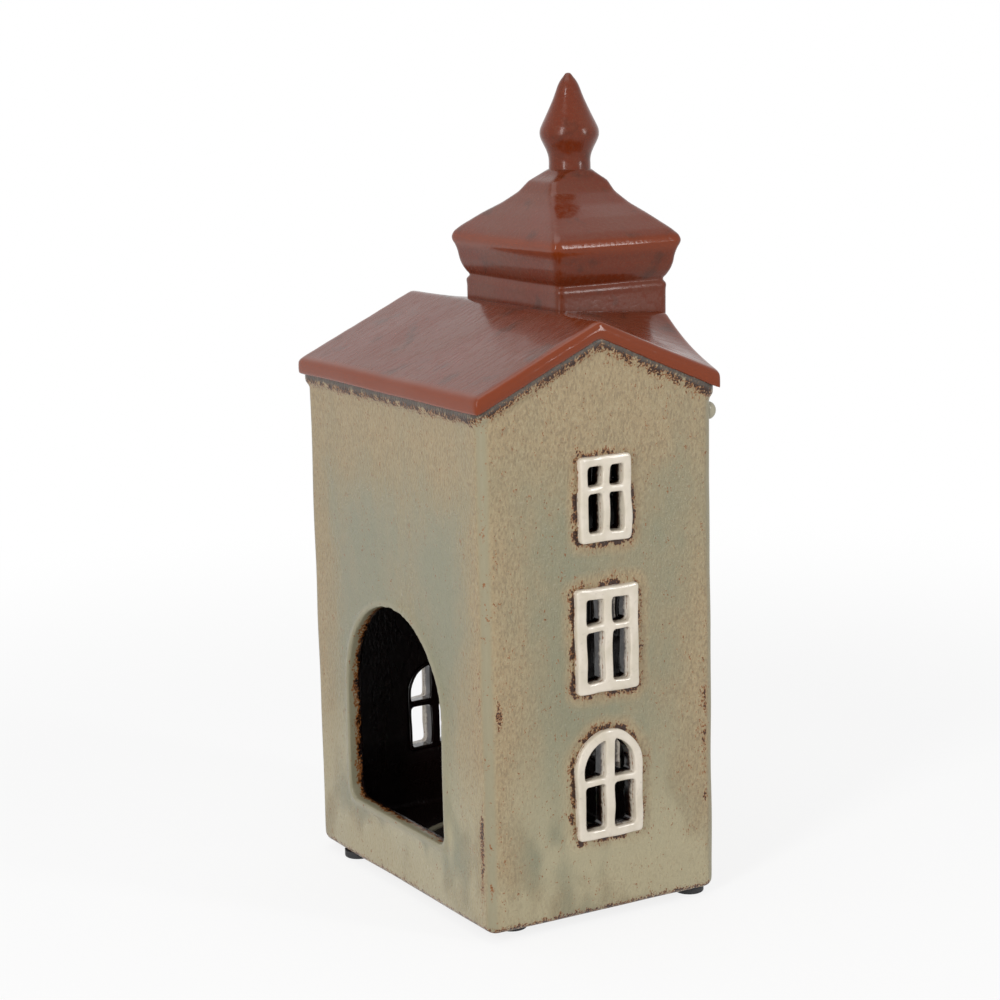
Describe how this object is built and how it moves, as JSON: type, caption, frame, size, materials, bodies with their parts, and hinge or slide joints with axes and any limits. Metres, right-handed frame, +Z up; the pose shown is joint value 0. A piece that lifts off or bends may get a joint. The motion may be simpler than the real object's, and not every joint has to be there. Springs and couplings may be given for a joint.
{
  "type": "tealight house",
  "caption": "Glazed ceramic house lantern with an arched opening for a tealight, pierced four-pane windows, swept roof, hipped turret and pointed finial.",
  "frame": {"origin": "middle of the part's box, on the surface that the feet stand on", "axes": "+Z up, -Y the front gable, -X the side with the tealight arch, +X the side under the turret"},
  "size_m": [0.1136, 0.1472, 0.3211],
  "materials": {
    "celadon_glaze": "satin reactive glaze, grey-green to tan",
    "terracotta_glaze": "glossy red-brown glaze",
    "white_glaze": "glossy cream white glaze",
    "foot_rubber": "matt black",
    "cup_metal": "thin pressed metal",
    "wax": "white wax, slightly translucent",
    "wick_cotton": "waxed cotton",
    "tab_metal": "tinned plate"
  },
  "bodies": {
    "house": {"house_body": "celadon_glaze", "floor_ring": "celadon_glaze", "side_string_course": "celadon_glaze", "roof": "terracotta_glaze", "tower": "terracotta_glaze", "finial": "terracotta_glaze", "front_upper_window": "white_glaze", "front_middle_window": "white_glaze", "front_arched_window": "white_glaze", "back_upper_window": "white_glaze", "back_middle_window": "white_glaze", "back_arched_window": "white_glaze", "side_upper_window": "white_glaze", "side_middle_window": "white_glaze", "side_arched_window": "white_glaze", "foot_front_left": "foot_rubber", "foot_front_right": "foot_rubber", "foot_back_left": "foot_rubber", "foot_back_right": "foot_rubber"},
    "tealight": {"tealight_cup": "cup_metal", "tealight_wax": "wax", "tealight_wick": "wick_cotton", "tealight_wick_tab": "tab_metal"}
  },
  "joints": [
    {"name": "tealight_lift_out", "type": "slide", "parent": "house", "child": "tealight", "axis": [-0.766, 0, 0.6428], "range_m": [0, 0.115]}
  ]
}
